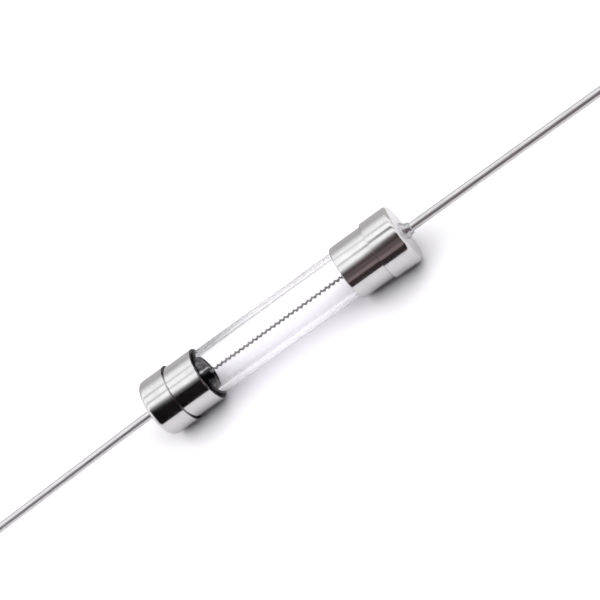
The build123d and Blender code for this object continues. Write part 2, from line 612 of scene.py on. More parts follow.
@dataclass(frozen=True)
class PlatedCap(Finish):
    """Finish of a drawn cap in nickel plate, with painted shade on its cut edge, thinner where it faces the
    lamps, and a dulled face painted lighter as if lit.
    """

    rim: float
    face: float
    radius: float
    rubs: tuple[Rub, ...] = ()
    rub_fade: float = 9.0
    clean: Colour = (0.765, 0.755, 0.762)
    dull: Colour = (0.705, 0.695, 0.702)
    worn: Colour = (0.82, 0.80, 0.78)
    # Painted shade: near black on the cut edge, in place of the dark gap and dark reflections at the rim.
    bare: Colour = (0.042, 0.037, 0.042)
    # Painted light: the closed face is coloured lighter, as if lit.
    face_shade: Colour = (0.90, 0.90, 0.91)
    roughness: float = 0.09
    dull_roughness: float = 0.15
    face_roughness: float = 0.34
    cut_roughness: float = 0.45
    scratch_share: float = 0.35
    relief: float = 0.02

    def tarnish(self, sheet: Sheet, cut: Socket) -> Socket:
        """Mask of the painted shade on the cut edge, thinner where the edge faces the lamps.

        Args:
            sheet: Tree of the finish's material.
            cut: Mask of the cut edge.

        Returns:
            The mask's socket.
        """
        angle = sheet.angle()
        for lit_arc in self.rubs:
            start = tuple(math.radians(lit_arc.start + fade) for fade in (-self.rub_fade, self.rub_fade))
            stop = tuple(math.radians(lit_arc.stop + fade) for fade in (-self.rub_fade, self.rub_fade))
            below = sheet.spread(angle, start, 1.0, lit_arc.tarnish_left)
            above = sheet.spread(angle, stop, lit_arc.tarnish_left, 1.0)
            cut = sheet.math("MULTIPLY", cut, sheet.math("MAXIMUM", below, above))
        return cut

    def shader(self, sheet: Sheet) -> Socket:
        """Write the finish's nodes.

        Args:
            sheet: Tree of the finish's material.

        Returns:
            The shader's socket.
        """
        marks = sheet.add("Group", node_tree=HandlingMarks().tree(), Scratch_Share=self.scratch_share)
        edges = sheet.add(
            "Group", node_tree=EdgeMarks().tree(), Rim=self.rim, Face=self.face, Radius=self.radius
        )
        closed_face, cut = edges.outputs["Closed Face"], edges.outputs["Cut Edge"]
        metal = sheet.add("BsdfPrincipled", Metallic=1.0)
        plate = sheet.tint(marks.outputs["Dullness"], self.clean, self.dull)
        # The closed face is painted lighter, as if lit; its dulled roughness is its own finish.
        plate = sheet.cover(plate, closed_face, self.face_shade)
        plate = sheet.cover(plate, edges.outputs["Corner Wear"], self.worn)
        # Painted shade on the cut edge, thinned on the stretches that face the lamps.
        sheet.join(sheet.cover(plate, self.tarnish(sheet, cut), self.bare), metal.inputs["Base Color"])
        rough = marked_roughness(sheet, marks, self.roughness, self.dull_roughness)
        rough = sheet.math("MAXIMUM", rough, sheet.math("MULTIPLY", closed_face, self.face_roughness))
        rough = sheet.math("MAXIMUM", rough, sheet.math("MULTIPLY", cut, self.cut_roughness))
        sheet.join(rough, metal.inputs["Roughness"])
        sheet.relief(metal, marks.outputs["Height"], self.relief, MARK_DEPTH)
        return metal.outputs[0]


@dataclass(frozen=True)
class ClearGlass(Finish):
    """Finish of the drawn tube: clear, with faint draw lines, and painted gray shade where the upper wall is
    seen edge-on, heaviest next to the left cap.

    Shadows and soft light pass straight through with a plain shade, so that the floor behind and under the
    tube is lit as evenly as through real glass.
    """

    name: str = "clear_drawn_glass"
    shade: Colour = (0.985, 0.985, 0.99)
    # Painted shade: the gray that the upper wall is tinted where it is seen edge-on.
    rim_shade: Colour = (0.040, 0.040, 0.042)
    rim_stops: tuple[Span, ...] = (
        (0.18, 0.0),
        (0.26, 0.45),
        (0.34, 0.74),
        (0.44, 0.91),
        (0.50, 0.98),
        (0.57, 0.95),
        (0.66, 0.91),
        (0.82, 0.96),
    )
    outer_wall: Span = (2.3, 2.6)
    inner_share: float = 0.12
    # The painted shade lies on the upper side only, heaviest next to the left cap.
    upper_side: Span = (-0.4, 0.8)
    smoke_fade: Span = (-6.5, -1.0)
    smoked_end: float = 1.0
    clear_end: float = 0.74
    lamp_shade: Colour = (0.88, 0.875, 0.885)
    edge_shade: Colour = (0.80, 0.795, 0.81)
    ior: float = 1.50
    streak_stretch: Triple = (0.05, 1.4, 1.4)
    relief: float = 0.0004

    def rim(self, sheet: Sheet) -> Socket:
        """Mask of the painted gray shade on the upper outer wall, where it turns away from the eye, fading
        from the left cap to the right.

        Args:
            sheet: Tree of the finish's material.

        Returns:
            The mask's socket.
        """
        turned = sheet.add("LayerWeight", Blend=0.5)
        edge = sheet.ramp(turned.outputs["Facing"], self.rim_stops)
        outside = sheet.spread(sheet.length(ACROSS), self.outer_wall, self.inner_share, 1.0)
        axes = sheet.axes()
        upper = sheet.spread(axes.outputs["Z"], self.upper_side)
        along = sheet.spread(axes.outputs["X"], self.smoke_fade, self.smoked_end, self.clear_end)
        edge = sheet.math("MULTIPLY", edge, outside)
        return sheet.math("MULTIPLY", edge, sheet.math("MULTIPLY", upper, along))

    def shader(self, sheet: Sheet) -> Socket:
        """Write the finish's nodes.

        Args:
            sheet: Tree of the finish's material.

        Returns:
            The shader's socket.
        """
        glass = sheet.add("BsdfPrincipled", IOR=self.ior, Roughness=0.0, Transmission_Weight=1.0)
        # Painted shade in the base colour along the upper edge.
        sheet.join(sheet.tint(self.rim(sheet), self.shade, self.rim_shade), glass.inputs["Base Color"])
        streaks = sheet.noise(self.streak_stretch, Scale=1.0, Detail=2.0)
        sheet.relief(glass, streaks.outputs["Fac"], self.relief, MARK_DEPTH)
        clear, facing = sheet.add("BsdfTransparent"), sheet.add("LayerWeight", Blend=0.5)
        shade = sheet.tint(facing.outputs["Facing"], self.lamp_shade, self.edge_shade)
        sheet.join(shade, clear.inputs["Color"])
        path = sheet.add("LightPath")
        shader = glass.outputs[0]
        for kind in ("Is Diffuse Ray", "Is Shadow Ray"):
            shader = sheet.blend(path.outputs[kind], shader, clear.outputs[0])
        return shader


@dataclass(frozen=True)
class CeramicCore(Finish):
    """Finish of the insulating core inside the winding, with painted shade where it enters the caps."""

    name: str = "ceramic_core"
    pale: Colour = (0.62, 0.60, 0.57)
    warm: Colour = (0.50, 0.48, 0.45)
    roughness: Span = (0.55, 0.8)
    relief: float = 0.3
    grain_depth: float = 0.005
    sooty_ends: Span = SHADED_ENDS

    def shader(self, sheet: Sheet) -> Socket:
        """Write the finish's nodes.

        Args:
            sheet: Tree of the finish's material.

        Returns:
            The shader's socket.
        """
        grain = sheet.noise(Scale=9.0, Detail=4.0).outputs["Fac"]
        body = sheet.add("BsdfPrincipled")
        colour = sheet.tint(grain, self.pale, self.warm)
        # Painted shade where the core enters the caps.
        sheet.join(sheet.cover(colour, sheet.ends(*self.sooty_ends), END_SHADE), body.inputs["Base Color"])
        sheet.join(sheet.spread(grain, NOISE_SPAN, *self.roughness), body.inputs["Roughness"])
        sheet.relief(body, grain, self.relief, self.grain_depth)
        return body.outputs[0]


@dataclass(frozen=True)
class Streak:
    """A painted highlight, a pale streak across the solder, by its place up the slope that the streaks
    cross, and its share of pale metal in the middle."""

    place: float
    width: float
    share: float


@dataclass(frozen=True)
class FluxedSolder(Finish):
    """Finish of the solder in the caps: painted near black as shade, with painted highlights in pale
    streaks.
    """

    name: str = "solder_painted_dark"
    # Painted shade: near black in two random tones, for the dark inside the cap.
    flux: Colour = (0.014, 0.0125, 0.0145)
    sooty: Colour = (0.026, 0.023, 0.027)
    sooty_patches: Span = (0.40, 0.65)
    # Colour of the painted highlights.
    metal: Colour = (0.60, 0.59, 0.60)
    streaks: tuple[Streak, ...] = (
        Streak(place=1.30, width=0.22, share=0.20),
        Streak(place=0.94, width=0.15, share=0.14),
        Streak(place=0.44, width=0.15, share=0.85),
    )
    streak_core: float = 0.25
    edge_tint: Colour = (0.25, 0.24, 0.25)
    # Slope of the painted highlights, tilted round the tube's axis.
    slope: float = 36.0
    ragged: float = 0.22
    grain_stretch: Triple = (0.8, 1.6, 0.35)
    roughness: Span = (0.24, 0.40)
    relief: float = 0.2

    def shader(self, sheet: Sheet) -> Socket:
        """Write the finish's nodes.

        Args:
            sheet: Tree of the finish's material.

        Returns:
            The shader's socket.
        """
        where, mapping = sheet.add("TexCoord"), sheet.add("Mapping", vector_type="TEXTURE")
        mapping.inputs["Rotation"].default_value = (math.radians(self.slope), 0.0, 0.0)
        mapping.inputs["Scale"].default_value = (MM, MM, MM)
        sheet.join(where.outputs["Object"], mapping.inputs["Vector"])
        stretch = sheet.add("Mapping", Scale=self.grain_stretch)
        sheet.join(mapping.outputs[0], stretch.inputs["Vector"])
        noise = sheet.add("TexNoise", Scale=1.6, Detail=4.0, Roughness=0.55)
        sheet.join(stretch.outputs[0], noise.inputs["Vector"])
        grain = noise.outputs["Fac"]
        shift = sheet.spread(grain, NOISE_SPAN, -self.ragged, self.ragged)
        across = sheet.math("ADD", sheet.axes(mapping.outputs[0]).outputs["Y"], shift)
        colour = sheet.tint(sheet.spread(grain, self.sooty_patches), self.flux, self.sooty)
        for streak in self.streaks:
            off = sheet.math("ABSOLUTE", sheet.math("SUBTRACT", across, streak.place))
            share = sheet.spread(off, (self.streak_core * streak.width, streak.width), streak.share, 0.0)
            colour = sheet.cover(colour, share, self.metal)
        metal = sheet.add("BsdfPrincipled", Metallic=1.0, Specular_Tint=(*self.edge_tint, 1.0))
        sheet.join(colour, metal.inputs["Base Color"])
        sheet.join(sheet.spread(grain, NOISE_SPAN, *self.roughness), metal.inputs["Roughness"])
        sheet.relief(metal, grain, self.relief, MARK_DEPTH)
        return metal.outputs[0]


TINNED = BareMetal(
    "tinned_lead_wire",
    clean=(0.82, 0.81, 0.82),
    dull=(0.74, 0.73, 0.74),
    roughness=0.31,
    dull_roughness=0.40,
    relief=0.10,
    draw_lines=8.0,
)
SOLDER = BareMetal(
    "lead_solder",
    clean=(0.70, 0.695, 0.71),
    dull=(0.56, 0.56, 0.575),
    roughness=0.20,
    dull_roughness=0.40,
    relief=0.10,
    patch_scale=1.6,
)
FUSE_WIRE = BareMetal(
    "element_fuse_wire",
    clean=(0.56, 0.54, 0.545),
    dull=(0.42, 0.40, 0.405),
    roughness=0.42,
    dull_roughness=0.55,
    relief=0.05,
    patch_scale=1.2,
    sooty_ends=SHADED_ENDS,
)


# --------------------------------------------------------------------------------------------- mesh tools


@dataclass(frozen=True)
class Corner:
    """A corner of a turned outline: its place along the tube, its radius and how far it is rounded."""

    x: float
    radius: float
    soft: float = 0.0

    @property
    def place(self) -> Vector:
        """The corner's point in the half plane above the tube's axis."""
        return Vector((self.x, 0.0, self.radius))

    @property
    def segments(self) -> int:
        """Segments of the corner's rounding, more on a larger one."""
        return max(2, round(ROUNDING_SEGMENTS * math.sqrt(self.soft) + 1))


class Form:
    """A mesh under construction, in millimetres, with its outline turned or swept by mesh operators."""

    hold: float = 0.03

    def __init__(self) -> None:
        """Start an empty form."""
        self.bm = bmesh.new()
        self.soft_corners: list[Corner] = []

    def outline(self, corners: list[Corner], closed: bool = True) -> None:
        """Draw an outline in the half plane of X and radius, and note which corners get softened.

        A softened corner has a point a little past its rounding on each side, which keeps the faces beside
        it truly straight under smooth shading.

        Args:
            corners: Corners in order.
            closed: Whether the last corner joins the first.
        """
        points: list[Vector] = []
        for index, corner in enumerate(corners):
            here = corner.place
            around = []
            if corner.soft:
                reach = corner.soft + self.hold
                for other in (corners[index - 1].place, corners[(index + 1) % len(corners)].place):
                    around.append(here + (other - here).normalized() * reach)
                points += [around[0], here, around[1]]
                self.soft_corners.append(corner)
            else:
                points.append(here)
        verts = [self.bm.verts.new(point) for point in points]
        for first, second in zip(verts, verts[1:] + verts[:1] if closed else verts[1:]):
            self.bm.edges.new((first, second))

    def arc(self, start: Corner, centre: Corner, angle: float, steps: int) -> None:
        """Draw an arc from a corner in the half plane of X and radius.

        Args:
            start: Where the arc starts, and a corner of the outline if it has one there.
            centre: The arc's centre.
            angle: Turn in degrees, from X towards the radius.
            steps: Number of chords.
        """
        bmesh.ops.spin(
            self.bm,
            geom=[self.bm.verts.new(start.place)],
            cent=centre.place,
            axis=(0.0, -1.0, 0.0),
            dvec=(0.0, 0.0, 0.0),
            angle=math.radians(angle),
            steps=steps,
        )

    def turn(self, flats: int) -> None:
        """Turn the outline round the tube's axis into a closed form and round its softened corners.

        Args:
            flats: Number of flats round the form.
        """
        bmesh.ops.remove_doubles(self.bm, verts=self.bm.verts, dist=WELD)
        bmesh.ops.spin(
            self.bm,
            geom=self.bm.verts[:] + self.bm.edges[:],
            cent=(0.0, 0.0, 0.0),
            axis=(1.0, 0.0, 0.0),
            dvec=(0.0, 0.0, 0.0),
            angle=math.tau,
            steps=flats,
            use_merge=True,
        )
        bmesh.ops.remove_doubles(self.bm, verts=self.bm.verts, dist=WELD)
        self.tidy()
        for corner in self.soft_corners:
            self.soften(corner)

    def soften(self, corner: Corner) -> None:
        """Round the circular edge that a corner of the outline has turned into.

        Args:
            corner: Corner of the outline.
        """
        ring = [
            edge
            for edge in self.bm.edges
            if all(
                abs(v.co.x - corner.x) < WELD
                and abs(math.hypot(v.co.y, v.co.z) - corner.radius) < 10 * WELD
                for v in edge.verts
            )
        ]
        bmesh.ops.bevel(
            self.bm,
            geom=ring,
            offset=corner.soft,
            offset_type="OFFSET",
            affect="EDGES",
            segments=corner.segments,
            profile=0.5,
            material=-1,
            clamp_overlap=True,
        )

    def tidy(self) -> None:
        """Close seams and point every face outward."""
        bmesh.ops.dissolve_degenerate(self.bm, edges=self.bm.edges, dist=WELD / 10)
        bmesh.ops.recalc_face_normals(self.bm, faces=self.bm.faces)

    def mirror(self, end: End) -> None:
        """Put a form that was drawn for the right end at the given end.

        Args:
            end: The end that it belongs to.
        """
        if end is End.LEFT:
            bmesh.ops.scale(self.bm, vec=(-1.0, 1.0, 1.0), verts=self.bm.verts)
            bmesh.ops.recalc_face_normals(self.bm, faces=self.bm.faces)

    def smooth(self, sharp: float) -> None:
        """Shade smoothly, but keep strongly turned edges sharp.

        Args:
            sharp: Angle in degrees past which an edge stays sharp.
        """
        for face in self.bm.faces:
            face.smooth = True
        for edge in self.bm.edges:
            edge.smooth = len(edge.link_faces) == 2 and edge.calc_face_angle(0.0) < math.radians(sharp)

    def piece(
        self, name: str, material: bpy.types.Material, slot: str, nodes: tuple[str, ...], sharp: float = 32.0
    ) -> bpy.types.Object:
        """Hand the form over to the scene.

        Args:
            name: Name of the piece.
            material: Its finish.
            slot: The record's material slot, which is not used.
            nodes: CAD nodes that it stands for.
            sharp: Angle in degrees past which an edge stays sharp.

        Returns:
            The piece, riding on the fuse's body.
        """
        self.smooth(sharp)
        bmesh.ops.scale(self.bm, vec=(MM, MM, MM), verts=self.bm.verts)
        mesh = bpy.data.meshes.new(name)
        self.bm.to_mesh(mesh)
        self.bm.free()
        mesh.materials.append(material)
        piece = bpy.data.objects.new(name, mesh)
        bpy.context.scene.collection.objects.link(piece)
        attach(piece, ROOT)
        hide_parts(*nodes)
        LOG.info("%s: %d faces, for %s", name, len(mesh.polygons), ", ".join(nodes))
        return piece


# ------------------------------------------------------------------------------------------------- pieces


@dataclass
class GlassTube:
    """Drawn glass tube, open at both ends inside the caps."""

    radius: float = 2.80
    wall: float = 0.70
    half_length: float = 14.805
    polished_edge: float = 0.20
    flats: int = 256

    def build(self) -> bpy.types.Object:
        """Build the tube.

        Returns:
            Its piece.
        """
        form = Form()
        bore, end, soft = self.radius - self.wall, self.half_length, self.polished_edge
        form.outline(
            [
                Corner(-end, bore, soft),
                Corner(end, bore, soft),
                Corner(end, self.radius, soft),
                Corner(-end, self.radius, soft),
            ]
        )
        form.turn(self.flats)
        form.tidy()
        return form.piece("tube_of_glass", ClearGlass().material(), "clear_glass", ("glass_tube",))


@dataclass
class EndCap:
    """Drawn cup that closes one end of the tube."""

    end: End
    face: float = 15.875
    length: float = 6.45
    radius: float = 3.235
    wall: float = 0.37
    corner: float = 0.60
    rim_break: float = 0.035
    rolled_rim: float = 0.12
    flats: int = 160

    def build(self) -> bpy.types.Object:
        """Build the cup.

        Returns:
            Its piece.
        """
        form = Form()
        rim, floor, bore = self.face - self.length, self.face - self.wall, self.radius - self.wall
        form.outline(
            [
                Corner(floor, 0.0),
                Corner(floor, bore, self.corner - self.wall),
                Corner(rim, bore, self.rim_break),
                Corner(rim, self.radius, self.rolled_rim),
                Corner(self.face, self.radius, self.corner),
                Corner(self.face, 0.0),
            ],
            closed=False,
        )
        form.turn(self.flats)
        form.mirror(self.end)
        form.tidy()
        word = self.end.word
        finish = PlatedCap("nickel_end_cap_plate", rim=rim, face=self.face, radius=self.radius)
        return form.piece(f"{word}_end_cup", finish.material(), "nickel_plate", (f"{word}_end_cap",))


@dataclass
class LeadCap:
    """Drawn cup pressed over an end cap, with a hole for its lead."""

    end: End
    face: float
    length: float = 3.40
    radius: float = 3.473
    wall: float = 0.23
    corner: float = 0.50
    hole: float = 0.69
    rim_break: float = 0.03
    flats: int = 160
    # Stretches where the cut edge's painted shade is thinned, as if lit.
    rubs: tuple[Rub, ...] = (
        Rub(start=58.0, stop=103.0, tarnish_left=0.12),
        Rub(start=3.0, stop=30.0, tarnish_left=0.62),
    )

    def build(self) -> bpy.types.Object:
        """Build the cup.

        Returns:
            Its piece.
        """
        form = Form()
        rim, floor, bore = self.face - self.length, self.face - self.wall, self.radius - self.wall
        form.outline(
            [
                Corner(floor, self.hole),
                Corner(floor, bore, self.corner - self.wall),
                Corner(rim, bore),
                Corner(rim, self.radius, self.rim_break),
                Corner(self.face, self.radius, self.corner),
                Corner(self.face, self.hole, self.rim_break),
            ]
        )
        form.turn(self.flats)
        form.mirror(self.end)
        form.tidy()
        word = self.end.word
        finish = PlatedCap(
            f"nickel_{word}_lead_cap_plate", rim=rim, face=self.face, radius=self.radius, rubs=self.rubs
        )
        return form.piece(f"{word}_lead_cup", finish.material(), "nickel_plate", (f"{word}_lead_cap",))


@dataclass
class CapSlug:
    """Solder cast in an end cap, with a domed face that doesn't wet the glass."""

    end: End
    rim: float
    core_end: float
    crown: float = 0.32
    plug: float = 2.095
    bed: float = 14.81
    bed_radius: float = 2.86
    floor: float = 15.50
    element_hole: float = 0.27
    crown_steps: int = 28
    flats: int = 128

    def build(self) -> bpy.types.Object:
        """Build the slug.

        Returns:
            Its piece.
        """
        form = Form()
        sphere = (self.plug**2 + self.crown**2) / (2 * self.crown)
        centre = self.rim - self.crown + sphere
        mouth = centre - math.sqrt(sphere**2 - self.element_hole**2)
        form.outline(
            [
                Corner(self.rim, self.plug),
                Corner(self.rim + form.hold, self.plug),
                Corner(self.bed, self.plug),
                Corner(self.bed, self.bed_radius),
                Corner(self.floor, self.bed_radius),
                Corner(self.floor, 0.0),
                Corner(self.core_end, 0.0),
                Corner(self.core_end, self.element_hole),
                Corner(mouth, self.element_hole),
            ],
            closed=False,
        )
        sweep = math.asin(self.plug / sphere) - math.asin(self.element_hole / sphere)
        form.arc(Corner(self.rim, self.plug), Corner(centre, 0.0), math.degrees(sweep), self.crown_steps)
        form.turn(self.flats)
        form.mirror(self.end)
        form.tidy()
        word = self.end.word
        return form.piece(
            f"{word}_solder_slug", FluxedSolder().material(), "solder", (f"{word}_cap_solder",), sharp=50.0
        )


@dataclass
class Element:
    """Fuse wire wound as a right-handed helix on a thin core."""

    core_radius: float = 0.09
    core_from: float = -10.325
    core_to: float = 10.925
    wire: float = 0.15
    pitch: float = 0.61
    mean: float = 0.19
    wound_from: float = -9.825
    wound_to: float = 10.425
    core_flats: int = 24
    wire_flats: int = 10
    steps: int = 20

    def build(self) -> list[bpy.types.Object]:
        """Build the core and the winding.

        Returns:
            Their pieces.
        """
        core = Form()
        core.outline(
            [
                Corner(self.core_from, 0.0),
                Corner(self.core_from, self.core_radius),
                Corner(self.core_to, self.core_radius),
                Corner(self.core_to, 0.0),
            ],
            closed=False,
        )
        core.turn(self.core_flats)
        core.tidy()
        wound = Form()
        turns = (self.wound_to - self.wound_from) / self.pitch
        ring = bmesh.ops.create_circle(
            wound.bm, cap_ends=True, segments=self.wire_flats, radius=self.wire / 2
        )["verts"]
        lean = math.atan2(self.pitch, math.tau * self.mean)
        place = Matrix.Translation((self.wound_from, self.mean, 0.0)) @ Matrix.Rotation(lean, 4, "Y")
        bmesh.ops.transform(wound.bm, matrix=place, verts=ring)
        count = round(turns * self.steps)
        bmesh.ops.spin(
            wound.bm,
            geom=wound.bm.verts[:] + wound.bm.edges[:] + wound.bm.faces[:],
            cent=(0.0, 0.0, 0.0),
            axis=(1.0, 0.0, 0.0),
            dvec=((self.wound_to - self.wound_from) / count, 0.0, 0.0),
            angle=math.tau * turns,
            steps=count,
        )
        wound.tidy()
        ceramic, wire = CeramicCore().material(), FUSE_WIRE.material()
        return [
            core.piece("core_rod", ceramic, "insulating_core", ("element_core",), sharp=40.0),
            wound.piece("wound_wire", wire, "element_wire", ("element_winding",), sharp=60.0),
        ]


@dataclass
class Lead:
    """Stiff round lead, headed inside its cap, straight or drooping past a gentle bend."""

    end: End
    head: float
    cap_face: float
    collar_end: float
    radius: float = 0.50
    head_radius: float = 0.95
    head_thickness: float = 0.25
    collar_radius: float = 0.67
    tip: float = 54.75
    tip_break: float = 0.08
    stub: float = 1.50
    droop: float = 0.0
    bend_radius: float = 12.0
    stations: int = 90
    tip_hold: float = 0.2
    flats: int = 40

    def build(self) -> bpy.types.Object:
        """Build the lead.

        Returns:
            Its piece.
        """
        form = Form()
        turn = math.radians(self.droop)
        bend_start = self.cap_face + self.stub
        bent = bend_start + self.bend_radius * math.sin(turn)
        run = (self.tip - self.radius * math.sin(turn) - bent) / math.cos(turn)
        tip = bend_start + self.bend_radius * turn + run
        form.outline(
            [
                Corner(self.head, 0.0),
                Corner(self.head, self.head_radius),
                Corner(self.head + self.head_thickness, self.head_radius),
                Corner(self.head + self.head_thickness, self.collar_radius),
                Corner(self.collar_end, self.collar_radius),
                Corner(self.collar_end, self.radius),
                Corner(tip, self.radius, self.tip_break),
                Corner(tip, 0.0),
            ],
            closed=False,
        )
        form.turn(self.flats)
        for index in range(1, self.stations):
            x = self.collar_end + (tip - self.tip_hold - self.collar_end) * index / self.stations
            bmesh.ops.bisect_plane(
                form.bm,
                geom=form.bm.verts[:] + form.bm.edges[:] + form.bm.faces[:],
                plane_co=(x, 0.0, 0.0),
                plane_no=(1.0, 0.0, 0.0),
            )
        for vert in form.bm.verts:
            vert.co = self.route(vert.co, bend_start, turn)
        form.mirror(self.end)
        form.tidy()
        word = self.end.word
        return form.piece(f"{word}_round_lead", TINNED.material(), "tinned_wire", (f"{word}_lead_wire",))

    def route(self, point: Vector, bend_start: float, turn: float) -> Vector:
        """Carry a point of the straight lead to its place on the drooping one.

        Args:
            point: Place on the straight lead.
            bend_start: Where the bend starts.
            turn: Whole turn of the bend, in radians.

        Returns:
            The point's place on the finished lead.
        """
        run = point.x - bend_start
        if run <= 0.0 or turn == 0.0:
            along, low, lean = point.x, 0.0, 0.0
        elif run < self.bend_radius * turn:
            lean = run / self.bend_radius
            along = bend_start + self.bend_radius * math.sin(lean)
            low = self.bend_radius * (1.0 - math.cos(lean))
        else:
            lean = turn
            rest = run - self.bend_radius * turn
            along = bend_start + self.bend_radius * math.sin(turn) + rest * math.cos(turn)
            low = self.bend_radius * (1.0 - math.cos(turn)) + rest * math.sin(turn)
        return Vector((along + math.sin(lean) * point.z, point.y, math.cos(lean) * point.z - low))


@dataclass(frozen=True)
class Lump:
    """A swelling on a bead of solder, by its place along and round the lead and how far it stands out."""

    along: float
    angle: float
    length: float
    spread: float
    rise: float

    def lift(self, along: float, angle: float) -> float:
        """How far the lump raises the surface at a place.

        Args:
            along: Distance from the cap's face.
            angle: Place round the lead in degrees, from +Y towards +Z.

        Returns:
            The rise, which fades smoothly round the lump's middle.
        """
        turn = (angle - self.angle + 180.0) % 360.0 - 180.0
        return self.rise * math.exp(-(((along - self.along) / self.length) ** 2) - (turn / self.spread) ** 2)


@dataclass
class LeadSolder:
    """Ring or bead of solder round a lead, swollen by lumps and feathered out along the lead."""

    end: End
    face: float
    height: float
    width: float
    collar_end: float
    lumps: tuple[Lump, ...] = ()
    lead: float = 0.505
    collar: float = 0.675
    land: float = 0.012
    waist: float = 0.10
    rows: int = 14
    flats: int = 72
    face_gap: float = 0.002
    collar_gap: float = 0.005

    def build(self) -> bpy.types.Object:
        """Build the solder.

        Returns:
            Its piece.
        """
        form = Form()
        base, top = self.face + self.face_gap, self.face + self.height
        step = self.collar_end + self.collar_gap
        shares = [row / self.rows for row in range(self.rows + 1)]
        form.outline(
            [
                Corner(base, self.collar),
                *(Corner(base + (top - base) * share, self.flank(share)) for share in shares),
                Corner(top, self.lead),
                Corner(step, self.lead),
                Corner(step, self.collar),
            ]
        )
        form.turn(self.flats)
        form.tidy()
        for vert in form.bm.verts:
            self.swell(vert)
        form.mirror(self.end)
        word = self.end.word
        return form.piece(
            f"{word}_solder_ring", SOLDER.material(), "solder", (f"{word}_lead_solder",), sharp=60.0
        )

    def flank(self, share: float) -> float:
        """Radius of the plain ring at a share of its height, hollow as solder is that wets both metals."""
        hollow = self.waist * math.sin(math.pi * share)
        return self.lead + self.width + (self.land - self.width) * share - hollow * self.width

    def swell(self, vert: bmesh.types.BMVert) -> None:
        """Raise one point of the outer flank by the lumps.

        Args:
            vert: Point of the turned ring, left alone where it faces the lead or its collar.
        """
        radius = math.hypot(vert.co.y, vert.co.z)
        along = vert.co.x - self.face
        if radius < self.flank(along / self.height) - 10 * WELD or along > self.height - 10 * WELD:
            return
        angle = math.degrees(math.atan2(vert.co.z, vert.co.y))
        grown = radius + sum(lump.lift(along, angle) for lump in self.lumps)
        vert.co.y *= grown / radius
        vert.co.z *= grown / radius


# ------------------------------------------------------------------------------------------------- studio


class Role(Enum):
    """Where a studio card counts: in metal, through glass, and as light on dull surfaces."""

    SHOWN = (True, True, False)
    MIRRORED = (True, False, False)
    LAMP = (False, False, True)


@dataclass(frozen=True)
class Card:
    """A curved card over the fuse, by its arc in the cross-section: 0 is level in front, 90 overhead."""

    name: str
    role: Role
    arc: Span
    strength: float
    fades_to: float | None = None
    colour: Colour = WHITE
    along: Span = (-360.0, 360.0)
    distance: float = 260.0
    flat: float = 6.0

    def level(self, sheet: Sheet) -> Socket | float:
        """Strength of the card, which changes evenly along its arc where it fades.

        Args:
            sheet: Tree of the card's material.

        Returns:
            The strength, or its socket where it fades.
        """
        if self.fades_to is None:
            return self.strength
        start, stop = (math.radians(angle) for angle in self.arc)
        return sheet.spread(sheet.angle(), (start, stop), self.strength, self.fades_to)

    def build(self) -> bpy.types.Object:
        """Build the card.

        Returns:
            The card.
        """
        bm = bmesh.new()
        start, stop = (math.radians(angle) for angle in self.arc)
        place = (-self.distance * math.cos(start), self.distance * math.sin(start))
        pair = [bm.verts.new((x, *place)) for x in self.along]
        bmesh.ops.spin(
            bm,
            geom=[*pair, bm.edges.new(pair)],
            cent=(0.0, 0.0, 0.0),
            axis=(1.0, 0.0, 0.0),
            dvec=(0.0, 0.0, 0.0),
            angle=start - stop,
            steps=max(2, round((self.arc[1] - self.arc[0]) / self.flat)),
        )
        sheet = Sheet(self.name)
        return stage_piece(self.name, bm, glow(sheet, self.colour, self.level(sheet), self.role), self.role)


@dataclass(frozen=True)
class Band:
    """A band of light or dark that a cap mirrors, by its arc in the cross-section and its strength."""

    arc: Span
    strength: float
    fades_to: float | None = None
    colour: Colour = WHITE


@dataclass(frozen=True)
class Column:
    """The bands that one cap or lead mirrors, over the stretch of X that it sees."""

    name: str
    along: Span
    bands: tuple[Band, ...]

    def cards(self) -> list[Card]:
        """Turn the column's bands into cards.

        Returns:
            One card for each band.
        """
        return [
            Card(
                f"{self.name}_card_{index}",
                Role.SHOWN,
                band.arc,
                band.strength,
                band.fades_to,
                band.colour,
                self.along,
            )
            for index, band in enumerate(self.bands)
        ]


@dataclass(frozen=True)
class FloorFlag:
    """A card that lies on the floor, in front of the fuse or behind it, and only shows in the metal."""

    name: str
    y_from: float
    y_to: float
    colour: Colour
    strength: float
    half_width: float = 600.0
    lift: float = 0.02

    def build(self, floor_z: float) -> bpy.types.Object:
        """Build the flag.

        Args:
            floor_z: Height of the floor.

        Returns:
            The flag.
        """
        bm = bmesh.new()
        bmesh.ops.create_grid(bm, x_segments=1, y_segments=1, size=1.0)
        depth = (self.y_to - self.y_from) / 2
        bmesh.ops.scale(bm, vec=(self.half_width, depth, 1.0), verts=bm.verts)
        centre = (0.0, (self.y_from + self.y_to) / 2, floor_z + self.lift)
        bmesh.ops.translate(bm, vec=centre, verts=bm.verts)
        finish = glow(Sheet(self.name), self.colour, self.strength, Role.MIRRORED)
        return stage_piece(self.name, bm, finish, Role.MIRRORED)


def glow(sheet: Sheet, colour: Colour, strength: Socket | float, role: Role) -> bpy.types.Material:
    """Plain emission, which metal passes on to the eye but not to the floor.

    Args:
        sheet: Tree of the card's new material.
        colour: Its colour.
        strength: Its strength, where 1 is white, or a socket with it.
        role: What the card does, where a lamp has one plain strength.

    Returns:
        The card's material.
    """
    light = sheet.add("Emission", Color=(*colour, 1.0))
    if role is Role.LAMP:
        light.inputs["Strength"].default_value = strength
    else:
        sheet.join(sheet.math("MULTIPLY", sheet.first_hand(), strength), light.inputs["Strength"])
    return sheet.finish(light.outputs[0])


